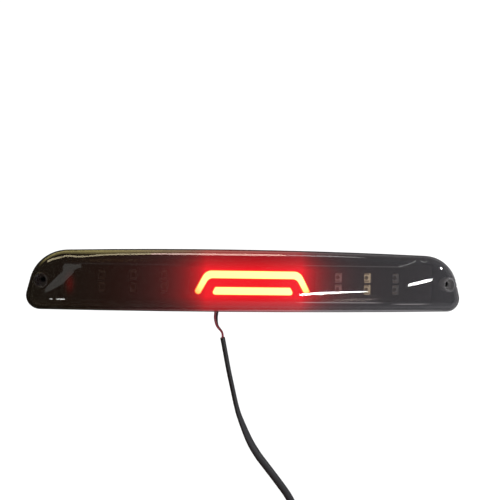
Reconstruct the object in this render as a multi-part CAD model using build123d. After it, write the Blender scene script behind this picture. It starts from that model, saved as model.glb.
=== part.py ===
from build123d import *
import os
from math import asin, cos, radians, sin, tan

os.makedirs("parts", exist_ok=True)

# High-mounted third brake light with cargo lamps, for the rear of a pickup truck cab.
# Millimetres and degrees.  X runs along the lamp, Y points into the vehicle, Z is up.
# Origin: midway between the two mounting screw holes, on the gasket's rear face.

# ---- lamp outline, seen from the front ----
SIDE_LEAN = 14.3          # the short sides lean inward
HALF_BASE = 214.3         # half width where side and bottom lines would meet
Z_BOTTOM = -29.6
Z_TOP = 30.7
BOTTOM_SAG = 2.0          # the bottom edge curves up towards the ends
TOP_SAG = 3.7             # the top edge curves down towards the ends
LOW_CORNER_R = 13.0
HIGH_CORNER_R = 35.0

# ---- clearances ----
GAP = 0.1                 # assembly gap between neighbouring pieces
CONTACT_GAP = 0.02        # gap under soldered and screwed-down pieces
FIT = 0.2                 # clearance of a light bar in its slot

# ---- lens ----
LENS_FRONT = -28.0
LENS_WALL = 2.5
LENS_DRAFT = 14.0
LENS_EDGE_R = 6.0
LENS_INNER_R = 2.6
LENS_INSET = 0.8
FOOT_DEPTH = 2.0          # straight part of the wall at the seal
END_R = 235.0             # plan radius of the lens ends
MID_HALF = 140.0          # half width of the nearly flat middle
MID_SAG = 2.0
SEAL_INSET = 0.2          # the seal is this much narrower than the wall on each side
BEAD_T = 0.8

# ---- mounting screws ----
SCREW_X = 195.0
SCREW_HOLE_R = 2.5
BOSS_R = 5.5
BOSS_FRONT = -8.0
POCKET_R = 5.4
POCKET_WALL = 1.7
POCKET_FLOOR_T = 2.5
POCKET_HOLE_EXTRA = 0.3   # the lens hole is wider than the housing hole
POCKET_RIM_GAP = 0.4

# ---- gasket ----
GASKET_T = 3.0
GASKET_INSET = 2.0        # the gasket stays inside the lamp outline
GASKET_BOX_GAP = 0.6
GASKET_BOSS_GAP = 0.3
NOTCH_HALF = 7.0          # gasket notch round the cable outlet
NOTCH_LOW = -20.0

# ---- housing ----
FLANGE_T = 3.0
LIP_W = 0.6               # edge lip round the lens foot
LIP_H = 1.5
RIM_GAP = 0.5             # locating rim inside the lens wall
RIM_W = 1.4
BOX_HALF_X = 165.0
BOX_HALF_Z = 17.0
BOX_DEPTH = 14.0
BOX_WALL = 2.5
BOX_CORNER_R = 8.0
POST_R = 3.0
PILOT_R = 1.15
BRAKE_POST_X = 24.0
BRAKE_POST_Z = -0.65
CARGO_POST_X = 38.5       # from the middle of each cargo board

# ---- bezel ----
BEZEL_FRONT = -13.0
BEZEL_T = 2.0
BEZEL_HALF_X = 184.0
BEZEL_INSET = 6.0         # from the lamp outline
BEZEL_CORNER_R = 7.5
BEZEL_SIDE_T = 2.2
BEZEL_SLOPE = 38.0        # lean of the tray's sides
WINDOW_HALF_X = 61.0
WINDOW_HALF_Z = 15.0
WINDOW_CORNER_R = 7.0
BEZEL_POST_X = 172.0
BEZEL_SCREW_SEAT = -4.8
BEZEL_SCREW_TIP = 0.4     # tip stays this far behind the bezel's face

# ---- light bars ----
BAR_FRONT = -15.0
BAR_BACK = -4.6
BAR_CHAMFER = 0.9
SHOULDER_W = 1.2          # the shoulder is wider than the bar on each side
SHOULDER_T = 1.4
BAFFLE_T = 2.0
BAFFLE_MARGIN_X = 4.0     # baffle past the window
BAFFLE_MARGIN_Z = 2.5
BAFFLE_CORNER_R = 8.0
ARCH_TOP = 11.35
ARCH_TOP_T = 8.45
ARCH_LEG_T = 7.2
ARCH_LEAN = 28.0          # of each leg from vertical
ARCH_TOP_R = 10.3
ARCH_UNDER_R = 6.0
ARCH_FOOT_ROUND = 0.95    # foot radius as a share of half the leg's width
FOOT_X = 52.0             # centre of each foot's round end
FOOT_Z = -8.6
LOWER_BAR_TOP = -4.2
LOWER_BAR_BOTTOM = -12.7
LOWER_BAR_HALF = 38.6     # half length at middle height
LOWER_BAR_TOP_R = 2.0
LOWER_BAR_LOW_R = 3.0

# ---- cargo lamp cells ----
CELL_X = (84.0, 113.0, 141.7)
CELL_W = 7.0
CELL_H = 9.6
CELL_PITCH = 11.5
CELL_Z = -0.4
CELL_R = 1.0
CELL_FLARE = 12.0
FRAME_L = 70.0
FRAME_H = 25.0
FRAME_R = 2.0
CARGO_LED_W = 5.4
CARGO_LED_H = 5.0
CARGO_LED_T = 1.5
CARGO_LED_R = 0.4
CAVITY_DEPTH_LED = 0.7
PHOSPHOR_R = 2.0
PHOSPHOR_T = 0.5

# ---- boards and the pieces on them ----
BOARD_T = 1.6
BOARD_R = 2.0
BOARD_HALF_Z = 13.5
BRAKE_BOARD_HALF_X = 58.0
CARGO_BOARD_MARGIN = 4.5  # board past its screw posts
BRAKE_BOARD_BACK = -1.4
CARGO_BOARD_BACK = -6.4
SCREW_R = 1.1
HEAD_R = 2.4
HEAD_T = 1.7
RECESS_LENGTH = 3.0
RECESS_W = 0.6
RECESS_DEPTH = 0.7
BOARD_SCREW_LENGTH = 7.0
BRAKE_LED = (3.4, 1.1, 2.8)
BRAKE_LED_CAVITY = (2.4, 0.5, 2.0)
TOP_LED_REACH = 36        # outermost LED behind the arch's top
LOWER_LED_REACH = 30      # outermost LED behind the lower bar
LED_STEP = 12
LEG_LED_STEP = 7.0
REGULATOR = (10.0, 2.3, 6.5)
REGULATOR_Z = 2.0
TAB = (6.5, 0.6, 2.2)
TAB_Z = 6.2
LEG = (1.0, 0.6, 2.6)
LEG_Z = -2.4
LEG_STEP = 3.4
CAN_X = (18.0, 26.0)
CAN_Z = 6.5
CAN_R = 3.1
CAN_TOP = 6.2
CAN_BASE = (6.8, 0.8, 6.8)
RESISTOR = (3.2, 0.6, 1.6)
RESISTOR_X = -16.0
RESISTOR_STEP = 6.0
RESISTOR_Z = (5.0, 8.5)
HEADER = (5.0, 3.0, 8.0)
HEADER_Z = -7.5
HEADER_SHIFT = 3.2
LINK_WIRE_R = 0.75
LINK_WIRE_Z = (-6.0, -9.0)
LINK_END = 5.0            # wire end inward from the board's edge or post

# ---- cable outlet and vent ----
CABLE_X = -33.6
CABLE_Y = 6.0
GROMMET_R = 4.5
GROMMET_FLANGE_R = 5.6
GROMMET_FLANGE_T = 1.4
GROMMET_LEDGE = 1.0
GROMMET_LEDGE_T = 1.2
VENT_X = 70.0
VENT_R = 4.0
VENT_CAP_EXTRA = 2.0
VENT_CAP_T = 2.0
VENT_SLOT_W = 0.8

# ---- wires and sleeve ----
WIRE_R = 1.05
WIRE_STEP = 2.2           # distance between the two wires
WIRE_IN_SLEEVE = 1.25     # distance of each wire from the sleeve's middle
WIRE_AT_PLUG = 1.8        # the same at the sleeve's lower end, where the wires part for the plug
PARTING_STATIONS = 6      # cross-sections over which they part
SLEEVE_THICK = 4.8
SLEEVE_WIDE = 7.6
SLEEVE_WALL = 0.65
COLLAR_LENGTH = 2.4
COLLAR_WALL = 0.45
PIVOT_GAP = 2.4           # open length left below the grommet
STATION_STEP = 6.0        # spacing of the cross-sections along the harness

# ---- plug at the cable's end ----
PLUG_X = 52.0
PLUG_TOP = -247.0
PLUG_W = 16.0
PLUG_D = 12.0
PLUG_H = 26.0
PLUG_R = 2.5
PLUG_WALL = 2.0
CAVITY_DEPTH = 13.0
CAVITY_R = 1.0
BAND_LOW = 8.0            # collar band round the plug, below its top
BAND_HIGH = 6.5
BAND_OUT = 0.8
LEAD_PITCH = 5.2
SEAL_R = 2.3
SEAL_LENGTH = 5.0
SEAL_GROOVES = (1.0, 2.2, 3.4)
GROOVE_W = 0.6
GROOVE_DEPTH = 0.45
TERMINAL_W = 2.2
TERMINAL_T = 0.8
TERMINAL_START = 4.0      # blade tip above the plug's mouth
TERMINAL_TIP = 0.3
WIRE_REACH = 8.5          # wire end below the plug's top
LATCH_W = 8.0
LATCH_T = 1.6
LATCH_GAP = 1.5
LATCH_LENGTH = 20.0
LATCH_BELOW = 11.0        # trunnions below the plug's top
LATCH_SIDE_GAP = 0.3
HOOK_T = 0.8
HOOK_H = 1.6
PAD_T = 0.6
PAD_H = 4.0
SLIT = (3.0, 4.0)
SLIT_BELOW = 6.0
TRUNNION_R = 0.8
TRUNNION_GAP = 0.06
EAR_T = 1.6
EAR_H = 4.0
EAR_PAST_LATCH = 0.8

# ---- worked out from the above ----
FLANGE_BACK = -GASKET_T
FLANGE_FRONT = FLANGE_BACK - FLANGE_T
LENS_BASE = FLANGE_FRONT - BEAD_T - 2 * GAP
WALL_START = LENS_BASE - FOOT_DEPTH
BEZEL_BACK = BEZEL_FRONT + BEZEL_T
BEZEL_BASE = FLANGE_FRONT - GAP
BOX_INNER_BACK = BOX_DEPTH - BOX_WALL
BRAKE_BOARD_FRONT = BRAKE_BOARD_BACK - BOARD_T
BRAKE_PARTS_BACK = BRAKE_BOARD_BACK + CONTACT_GAP
CARGO_BOARD_FRONT = CARGO_BOARD_BACK - BOARD_T
CARGO_MID = (CELL_X[0] + CELL_X[-1]) / 2
LINK_START_X = BRAKE_BOARD_HALF_X - LINK_END
GROMMET_LOW = -BOX_HALF_Z - GAP - GROMMET_FLANGE_T
TAIL_TOP = GROMMET_LOW - PIVOT_GAP
WIRE_END = PLUG_TOP - WIRE_REACH
PLUG_FRONT = CABLE_Y - PLUG_D / 2
PLUG_LOW = PLUG_TOP - PLUG_H
LATCH_Z = PLUG_TOP - LATCH_BELOW
LATCH_Y = PLUG_FRONT - LATCH_GAP - LATCH_T / 2

# Middle line of the hanging harness as (x, z), from the grommet down to the plug.
TAIL_LINE = [(CABLE_X, TAIL_TOP), (-33.6, -30.8), (-34.0, -38.0), (-32.4, -45.4),
             (-27.5, -52.2), (-26.9, -59.5)]
UPPER_LINE = [(-26.2, -62.5), (-20.5, -89.0), (-16.2, -107.7), (-12.0, -125.2), (-8.3, -137.0)]
LOWER_LINE = [(-7.3, -139.6), (1.7, -160.4), (10.6, -175.4), (21.0, -189.2),
              (32.6, -204.4), (42.4, -218.1), (PLUG_X, PLUG_TOP + 4.0)]


def facing(y):
    """Sketch plane at depth y, seen from the front: sketch x is X and sketch y is Z."""
    return Plane(origin=(0, y, 0), x_dir=(1, 0, 0), z_dir=(0, -1, 0))


def slab(sketch, back, front):
    """Flat piece of the sketch's shape between two depths."""
    return extrude(facing(back) * sketch, amount=back - front)


def rod(radius, x, z, back, front):
    """Round piece along Y."""
    return slab(Pos(x, z) * Circle(radius), back, front)


def save(name, *solids):
    """Write one sub-part; several solids are one group."""
    shape = solids[0] if len(solids) == 1 else Compound(children=list(solids))
    export_step(shape, "parts/" + name + ".step")


def lamp_outline():
    low = Z_BOTTOM + BOTTOM_SAG
    high = Z_TOP - TOP_SAG
    half_top = HALF_BASE - (high - low) * tan(radians(SIDE_LEAN))
    face = make_face([
        ThreePointArc((-HALF_BASE, low), (0, Z_BOTTOM), (HALF_BASE, low)),
        Line((HALF_BASE, low), (half_top, high)),
        ThreePointArc((half_top, high), (0, Z_TOP), (-half_top, high)),
        Line((-half_top, high), (-HALF_BASE, low)),
    ])
    face = fillet(face.vertices().sort_by(Axis.Y)[:2], LOW_CORNER_R)
    return fillet(face.vertices().sort_by(Axis.Y)[-2:], HIGH_CORNER_R)


OUTLINE = lamp_outline()


def plan_profile():
    """Lens front seen from above: a wide middle arc and a tighter arc on each end."""
    mid_r = (MID_HALF ** 2 + MID_SAG ** 2) / (2 * MID_SAG)
    start = asin(MID_HALF / mid_r)
    centre_x = MID_HALF - END_R * sin(start)
    centre_y = LENS_FRONT + MID_SAG + END_R * cos(start)
    past_end = HALF_BASE + 10
    stop = asin((past_end - centre_x) / END_R)

    def on_end(side, angle):
        return (side * (centre_x + END_R * sin(angle)), centre_y - END_R * cos(angle))

    join = (MID_HALF, LENS_FRONT + MID_SAG)
    other_join = (-MID_HALF, LENS_FRONT + MID_SAG)
    middle = (start + stop) / 2
    back = 60
    return make_face([
        ThreePointArc(other_join, (0, LENS_FRONT), join),
        ThreePointArc(join, on_end(1, middle), on_end(1, stop)),
        Line(on_end(1, stop), (past_end, back)),
        Line((past_end, back), (-past_end, back)),
        Line((-past_end, back), on_end(-1, stop)),
        ThreePointArc(on_end(-1, stop), on_end(-1, middle), other_join),
    ])


def lens_form(inset, edge_r):
    """The lens shape grown inward by inset, as a filled block."""
    base = offset(OUTLINE, -(LENS_INSET + inset))
    profile = plan_profile()
    if inset:
        profile = offset(profile, -inset)
    tall = Z_TOP - Z_BOTTOM
    walls = extrude(facing(WALL_START) * base, amount=tall / 2, taper=LENS_DRAFT)
    block = walls & extrude(profile, amount=tall, both=True)

    def is_front_edge(edge):
        seam = abs(abs(edge.center().X) - MID_HALF) < 0.5
        runs_back = abs(edge.tangent_at(0.5).Y) > 0.9
        return edge.center().Y < WALL_START - 1 and not seam and not runs_back

    block = fillet([e for e in block.edges() if is_front_edge(e)], edge_r)
    return block + slab(base, LENS_BASE, WALL_START)


def outer_lens():
    outer = lens_form(0, LENS_EDGE_R)
    inner = lens_form(LENS_WALL, LENS_INNER_R)
    inner += slab(offset(OUTLINE, -(LENS_INSET + LENS_WALL)), LENS_BASE + 1, LENS_BASE - 1)
    lens = outer - inner
    seat = BOSS_FRONT - GAP
    for x in (-SCREW_X, SCREW_X):
        lens += rod(POCKET_R + POCKET_WALL, x, 0, seat, LENS_FRONT) & outer
        lens -= rod(POCKET_R, x, 0, seat - POCKET_FLOOR_T, LENS_FRONT - 1)
        lens -= rod(SCREW_HOLE_R + POCKET_HOLE_EXTRA, x, 0, seat + 1, LENS_FRONT)
    return lens


def lens_seal():
    outer = offset(OUTLINE, -(LENS_INSET + SEAL_INSET))
    inner = offset(OUTLINE, -(LENS_INSET + LENS_WALL - SEAL_INSET))
    return slab(outer - inner, FLANGE_FRONT - GAP, FLANGE_FRONT - GAP - BEAD_T)


def box_sketch(grow=0.0):
    return RectangleRounded(2 * (BOX_HALF_X + grow), 2 * (BOX_HALF_Z + grow), BOX_CORNER_R + grow)


def board_posts():
    """Screw posts as (x, z, front) triples."""
    posts = [(side * BRAKE_POST_X, BRAKE_POST_Z, BRAKE_BOARD_BACK) for side in (-1, 1)]
    for side in (-1, 1):
        for offset_x in (-CARGO_POST_X, CARGO_POST_X):
            posts.append((side * CARGO_MID + offset_x, 0, CARGO_BOARD_BACK))
    return posts


def back_housing():
    """Flange with a locating rim for the lens, a shallow box behind it, screw bosses and board posts."""
    body = slab(OUTLINE, FLANGE_BACK, FLANGE_FRONT)
    lip = OUTLINE - offset(OUTLINE, -LIP_W)
    body += slab(lip, FLANGE_FRONT, FLANGE_FRONT - LIP_H)
    rim_out = LENS_INSET + LENS_WALL + RIM_GAP
    rim = offset(OUTLINE, -rim_out) - offset(OUTLINE, -(rim_out + RIM_W))
    body += slab(rim, FLANGE_FRONT, WALL_START)
    body += slab(box_sketch(), BOX_DEPTH, FLANGE_BACK)
    body -= slab(box_sketch(-BOX_WALL), BOX_INNER_BACK, FLANGE_FRONT - 1)
    for x in (-SCREW_X, SCREW_X):
        body -= rod(POCKET_R + POCKET_WALL + POCKET_RIM_GAP, x, 0, FLANGE_FRONT, WALL_START - 1)
        body += rod(BOSS_R, x, 0, 0, BOSS_FRONT)
        body -= rod(SCREW_HOLE_R, x, 0, 1, BOSS_FRONT - 1)
    for x, z, front in board_posts():
        body += rod(POST_R, x, z, BOX_INNER_BACK, front + GAP)
        body -= rod(PILOT_R, x, z, BOX_INNER_BACK - 1, front - 1)
    for x in (-BEZEL_POST_X, BEZEL_POST_X):
        body -= rod(PILOT_R + FIT, x, 0, FLANGE_BACK + 1, FLANGE_FRONT - 1)
        body -= rod(HEAD_R + FIT + GAP, x, 0, FLANGE_BACK + 1, BEZEL_SCREW_SEAT)
    body -= rod(VENT_R - 1, VENT_X, 0, BOX_DEPTH + 1, BOX_INNER_BACK - 1)
    outlet = Plane(origin=(CABLE_X, CABLE_Y, -BOX_HALF_Z - 1)) * Circle(GROMMET_R)
    body -= extrude(outlet, amount=BOX_WALL + 2)
    return body


def mounting_gasket():
    """Foam pad round the box, with a notch for the cable outlet."""
    pad = offset(OUTLINE, -GASKET_INSET) - box_sketch(GASKET_BOX_GAP)
    for x in (-SCREW_X, SCREW_X):
        pad -= Pos(x, 0) * Circle(BOSS_R + GASKET_BOSS_GAP)
    pad -= Pos(CABLE_X, NOTCH_LOW / 2) * Rectangle(2 * NOTCH_HALF, -NOTCH_LOW)
    return slab(pad, 0, FLANGE_BACK + GAP)


def cell_centres(side):
    rows = (CELL_Z - CELL_PITCH / 2, CELL_Z + CELL_PITCH / 2)
    return [(side * x, z) for x in CELL_X for z in rows]


def inner_bezel():
    """Dark tray behind the lens: raised floor with windows, walls sloping back to the flange."""
    depth = BEZEL_BASE - BEZEL_FRONT
    base = offset(OUTLINE, -BEZEL_INSET) & Rectangle(2 * BEZEL_HALF_X, 4 * Z_TOP)
    base = fillet(base.vertices().filter_by(lambda v: abs(v.X) > BEZEL_HALF_X - 1), BEZEL_CORNER_R)
    tray = extrude(facing(BEZEL_BASE) * base, amount=depth, taper=BEZEL_SLOPE)
    inside = facing(BEZEL_BASE) * offset(base, -BEZEL_SIDE_T)
    tray -= extrude(inside, amount=depth - BEZEL_T, taper=BEZEL_SLOPE)
    window = RectangleRounded(2 * WINDOW_HALF_X, 2 * WINDOW_HALF_Z, WINDOW_CORNER_R)
    tray -= slab(window, BEZEL_BACK + 1, BEZEL_FRONT - 1)
    for side in (-1, 1):
        for x, z in cell_centres(side):
            cell = Pos(x, z) * RectangleRounded(CELL_W, CELL_H, CELL_R)
            tray -= slab(cell, BEZEL_BACK + 1, BEZEL_FRONT - 1)
        tray += rod(POST_R, side * BEZEL_POST_X, 0, BEZEL_BASE, BEZEL_BACK)
        tray -= rod(PILOT_R, side * BEZEL_POST_X, 0, BEZEL_BASE + 1, BEZEL_BACK)
    return tray


def arch_sketch(grow=0.0):
    """Inverted U with leaning legs and round feet."""
    lean = radians(ARCH_LEAN)
    along = (sin(lean), -cos(lean))
    out = (cos(lean), sin(lean))
    half = ARCH_LEG_T / 2 + grow

    def on_leg(distance, z):
        """X of the line parallel to the right leg, distance outward from its middle, at height z."""
        x0 = FOOT_X + distance * out[0]
        z0 = FOOT_Z + distance * out[1]
        return x0 + (z0 - z) * tan(lean)

    top = ARCH_TOP + grow
    under = ARCH_TOP - ARCH_TOP_T - grow
    tip = (FOOT_X + half * along[0], FOOT_Z + half * along[1])
    outer_foot = (tip[0] + half * out[0], tip[1] + half * out[1])
    inner_foot = (tip[0] - half * out[0], tip[1] - half * out[1])
    right = [(on_leg(half, top), top), outer_foot, inner_foot, (on_leg(-half, under), under)]
    left = [(-x, z) for x, z in reversed(right)]
    shape = make_face(Polyline(*right, *left, close=True))
    corners = shape.vertices()
    feet = corners.filter_by(lambda v: v.Y < FOOT_Z)
    shape = fillet(feet, half * ARCH_FOOT_ROUND)
    shape = fillet(shape.vertices().filter_by(lambda v: v.Y > top - 0.1), ARCH_TOP_R + grow)
    inner_corner = shape.vertices().filter_by(lambda v: abs(v.Y - under) < 0.1)
    return fillet(inner_corner, ARCH_UNDER_R - grow)


def lower_bar_sketch(grow=0.0):
    """Straight bar whose ends are cut parallel to the arch's legs."""
    slant = tan(radians(ARCH_LEAN))
    bottom = LOWER_BAR_BOTTOM - grow
    top = LOWER_BAR_TOP + grow
    middle = (bottom + top) / 2
    half = LOWER_BAR_HALF + grow
    low_x = half + (middle - bottom) * slant
    high_x = half - (top - middle) * slant
    shape = make_face(Polyline((-low_x, bottom), (low_x, bottom), (high_x, top), (-high_x, top), close=True))
    shape = fillet(shape.vertices().filter_by(lambda v: v.Y > middle), LOWER_BAR_TOP_R)
    return fillet(shape.vertices().filter_by(lambda v: v.Y < bottom + 0.1), LOWER_BAR_LOW_R)


def light_bar(sketch_of):
    """Front bar with a wider shoulder that rests behind the baffle."""
    shoulder_front = BEZEL_BACK + BAFFLE_T + 2 * GAP
    bar = slab(sketch_of(0), BAR_BACK, BAR_FRONT)
    bar = chamfer(bar.faces().sort_by(Axis.Y)[0].edges(), BAR_CHAMFER)
    return bar + slab(sketch_of(SHOULDER_W), shoulder_front + SHOULDER_T, shoulder_front)


def light_bar_baffle():
    """Plate behind the window with one slot for each bar."""
    width = 2 * (WINDOW_HALF_X + BAFFLE_MARGIN_X)
    height = 2 * (WINDOW_HALF_Z + BAFFLE_MARGIN_Z)
    plate = RectangleRounded(width, height, BAFFLE_CORNER_R)
    plate -= arch_sketch(FIT)
    plate -= lower_bar_sketch(FIT)
    front = BEZEL_BACK + GAP
    return slab(plate, front + BAFFLE_T, front)


def screw(x, z, seat, point):
    """Pan-head screw with a cross recess; its head sits on seat and its shaft ends at depth point."""
    out = -1 if point > seat else 1
    top = seat + out * HEAD_T
    head = rod(HEAD_R, x, z, max(seat, top), min(seat, top))
    shaft = rod(SCREW_R, x, z, max(seat, point), min(seat, point))
    cross = Rectangle(RECESS_LENGTH, RECESS_W) + Rectangle(RECESS_W, RECESS_LENGTH)
    return head + shaft - slab(Pos(x, z) * cross, top + RECESS_DEPTH, top - RECESS_DEPTH)


def bezel_screws():
    seat = BEZEL_SCREW_SEAT + GAP / 2
    return [screw(side * BEZEL_POST_X, 0, seat, BEZEL_BACK + BEZEL_SCREW_TIP) for side in (-1, 1)]


def board_screws():
    screws = []
    for x, z, front in board_posts():
        screws.append(screw(x, z, front - BOARD_T - CONTACT_GAP, front + BOARD_SCREW_LENGTH))
    return screws


def board(sketch, back, posts):
    """Circuit board with a screw hole at each post."""
    for x, z in posts:
        sketch -= Pos(x, z) * Circle(SCREW_R + FIT)
    return slab(sketch, back, back - BOARD_T)


def brake_board():
    posts = [(side * BRAKE_POST_X, BRAKE_POST_Z) for side in (-1, 1)]
    outline = RectangleRounded(2 * BRAKE_BOARD_HALF_X, 2 * BOARD_HALF_Z, BOARD_R)
    return board(outline, BRAKE_BOARD_BACK, posts)


def cargo_board(side):
    posts = [(side * CARGO_MID + dx, 0) for dx in (-CARGO_POST_X, CARGO_POST_X)]
    length = 2 * (CARGO_POST_X + CARGO_BOARD_MARGIN)
    outline = Pos(side * CARGO_MID, 0) * RectangleRounded(length, 2 * BOARD_HALF_Z, BOARD_R)
    return board(outline, CARGO_BOARD_BACK, posts)


def brake_led_places():
    """LEDs behind the two bars: a row along the arch's top, two per leg, a row along the lower bar."""
    arch_z = ARCH_TOP - ARCH_TOP_T / 2
    places = [(x, arch_z) for x in range(-TOP_LED_REACH, TOP_LED_REACH + 1, LED_STEP)]
    for side in (-1, 1):
        for z in (arch_z - LEG_LED_STEP, arch_z - 2 * LEG_LED_STEP):
            places.append((side * (FOOT_X + (FOOT_Z - z) * tan(radians(ARCH_LEAN))), z))
    lower_z = (LOWER_BAR_TOP + LOWER_BAR_BOTTOM) / 2
    return places + [(x, lower_z) for x in range(-LOWER_LED_REACH, LOWER_LED_REACH + 1, LED_STEP)]


def brake_leds():
    half_t = BRAKE_LED[1] / 2
    body = Box(*BRAKE_LED) - Pos(0, -half_t, 0) * Box(*BRAKE_LED_CAVITY)
    y = BRAKE_BOARD_FRONT - CONTACT_GAP - half_t
    return [Pos(x, y, z) * body for x, z in brake_led_places()]


def cargo_leds(side):
    """Packages with a round cavity in the front."""
    leds = []
    front = CARGO_BOARD_FRONT - CARGO_LED_T
    for x, z in cell_centres(side):
        package = Pos(x, z) * RectangleRounded(CARGO_LED_W, CARGO_LED_H, CARGO_LED_R)
        body = slab(package, CARGO_BOARD_FRONT - CONTACT_GAP, front)
        leds.append(body - rod(PHOSPHOR_R + GAP, x, z, front + CAVITY_DEPTH_LED, front - 1))
    return leds


def phosphor_pads(side):
    """Round phosphor fillings at the bottom of the LED cavities."""
    back = CARGO_BOARD_FRONT - CARGO_LED_T + CAVITY_DEPTH_LED - CONTACT_GAP
    return [rod(PHOSPHOR_R, x, z, back, back - PHOSPHOR_T) for x, z in cell_centres(side)]


def cargo_reflector(side):
    """Cell frame with one flared opening per LED."""
    back = CARGO_BOARD_FRONT - GAP
    front = BEZEL_BACK + GAP
    frame = slab(Pos(side * CARGO_MID, CELL_Z) * RectangleRounded(FRAME_L, FRAME_H, FRAME_R), back, front)
    for x, z in cell_centres(side):
        mouth = RectangleRounded(CELL_W + 3 * FIT, CELL_H + 3 * FIT, CELL_R + FIT)
        frame -= extrude(facing(front) * Pos(x, z) * mouth, amount=-(back - front), taper=CELL_FLARE)
        seat = RectangleRounded(CARGO_LED_W + 2 * FIT, CARGO_LED_H + 2 * FIT, CARGO_LED_R + GAP)
        frame -= slab(Pos(x, z) * seat, back + 1, front)
    return frame


def on_board_back(size, x, z):
    """Block of size (width, thickness, height) lying on the back of the brake board."""
    return Pos(x, BRAKE_PARTS_BACK + size[1] / 2, z) * Box(*size)


def driver_regulator():
    body = on_board_back(REGULATOR, 0, REGULATOR_Z) + on_board_back(TAB, 0, TAB_Z)
    for x in (-LEG_STEP, 0, LEG_STEP):
        body += on_board_back(LEG, x, LEG_Z)
    return body


def driver_capacitors():
    cans = []
    for x in CAN_X:
        can = rod(CAN_R, x, CAN_Z, BRAKE_PARTS_BACK + CAN_TOP, BRAKE_PARTS_BACK + CAN_BASE[1])
        cans.append(on_board_back(CAN_BASE, x, CAN_Z) + can)
    return cans


def driver_resistors():
    columns = [RESISTOR_X - RESISTOR_STEP * i for i in range(3)]
    return [on_board_back(RESISTOR, x, z) for x in columns for z in RESISTOR_Z]


def wire(points, radius, ends=()):
    """Round wire swept along a smooth path through the points; ends are the directions at its two ends."""
    path = Spline(*points, tangents=ends)
    profile = Plane(origin=path @ 0, z_dir=path % 0) * Circle(radius)
    return sweep(profile, path)


def link_wires(side):
    """Two wires behind the boards, from the brake board to one cargo board."""
    end_x = CARGO_MID - CARGO_POST_X + LINK_END
    start_y = BRAKE_BOARD_BACK + LINK_WIRE_R + GAP
    end_y = CARGO_BOARD_BACK + LINK_WIRE_R + 2 * GAP
    wires = []
    for z in LINK_WIRE_Z:
        points = [(side * LINK_START_X, start_y, z), (side * (LINK_START_X + 8), 4.5, z),
                  (side * (end_x - 7), 3.0, z), (side * end_x, end_y, z)]
        wires.append(wire(points, LINK_WIRE_R))
    return wires


def link_connectors():
    """Board headers the link wires end in."""
    x = LINK_START_X - HEADER_SHIFT
    return [Pos(0, GAP, 0) * on_board_back(HEADER, side * x, HEADER_Z) for side in (-1, 1)]


def upright_rod(radius, x, y, low, high):
    """Round piece along Z."""
    return extrude(Plane(origin=(x, y, low)) * Circle(radius), amount=high - low)


def cable_grommet():
    """Rubber plug in the box's bottom wall: a flange outside, a neck, a ledge inside and two wire bores."""
    ledge_low = -BOX_HALF_Z + BOX_WALL + GAP
    body = upright_rod(GROMMET_FLANGE_R, CABLE_X, CABLE_Y, GROMMET_LOW, -BOX_HALF_Z - GAP)
    body += upright_rod(GROMMET_R - GAP, CABLE_X, CABLE_Y, GROMMET_LOW, ledge_low)
    body += upright_rod(GROMMET_R + GROMMET_LEDGE, CABLE_X, CABLE_Y, ledge_low, ledge_low + GROMMET_LEDGE_T)
    for side in (-1, 1):
        x = CABLE_X + side * WIRE_STEP / 2
        body -= upright_rod(WIRE_R + GAP, x, CABLE_Y, GROMMET_LOW - 1, ledge_low + 3)
    return body


def vent_cap():
    """Push-in vent with crossing slots in its cap."""
    top = BOX_DEPTH + VENT_CAP_T
    cap = rod(VENT_R + VENT_CAP_EXTRA, VENT_X, 0, top, BOX_DEPTH + GAP)
    cap += rod(VENT_R - 1 - GAP, VENT_X, 0, BOX_DEPTH + GAP, BOX_INNER_BACK)
    slot = Box(4 * VENT_R, VENT_SLOT_W, VENT_SLOT_W)
    for angle in (0, 45, 90, 135):
        cap -= Pos(VENT_X, top, 0) * Rot(0, angle, 0) * slot
    return cap


def inner_lead(side):
    """Supply wire inside the housing, from the brake board down through the grommet."""
    x = CABLE_X + side * WIRE_STEP / 2
    up = (0, 0, 1)
    pad_y = BRAKE_BOARD_BACK + WIRE_R + GAP
    points = [(x, CABLE_Y, GROMMET_LOW - FIT), (x, CABLE_Y, -15.5), (x, CABLE_Y, -12.5),
              (x + side * 1.5, 4.0, -5.0), (x + side * 2, pad_y, 1.5), (x + side * 2, pad_y, 5.0)]
    return wire(points, WIRE_R, (up, up))


def ease(value):
    """Smooth step from 0 to 1."""
    value = min(max(value, 0.0), 1.0)
    return value * value * (3 - 2 * value)


def stations(line, turn_from, turn_to, start=0.0, stop=1.0):
    """Planes square to the line, each with its turn: 0 when the two wires lie along Y, 1 when across.

    The turn changes between start and stop.  Local x is Y, local y lies in the line's own plane.
    """
    path = Spline(*[(x, CABLE_Y, z) for x, z in line])
    count = 2 * (int(path.length / STATION_STEP / 2) + 1)
    found = []
    for index in range(count + 1):
        t = index / count
        turn = turn_from + (turn_to - turn_from) * ease((t - start) / (stop - start))
        found.append((Plane(origin=path @ t, x_dir=(0, 1, 0), z_dir=path % t), turn))
    return found


TAIL = stations(TAIL_LINE, 1, 0, 0.25, 0.9)
UPPER = stations(UPPER_LINE, 0, 0)
LOWER = stations(LOWER_LINE, 0, 1, 0.08, 0.45)


def oval_tube(places, wide, thick, wall):
    """Hollow oval sleeve; its wide side swings from Y to across as the wires inside turn."""
    def section(turn, less):
        along_y = wide / 2 - (wide - thick) / 2 * turn - less
        across = thick / 2 + (wide - thick) / 2 * turn - less
        return Ellipse(along_y, across)

    outer = loft([plane * section(turn, 0) for plane, turn in places])
    inner = loft([plane * section(turn, wall) for plane, turn in places])
    return outer - inner


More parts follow.
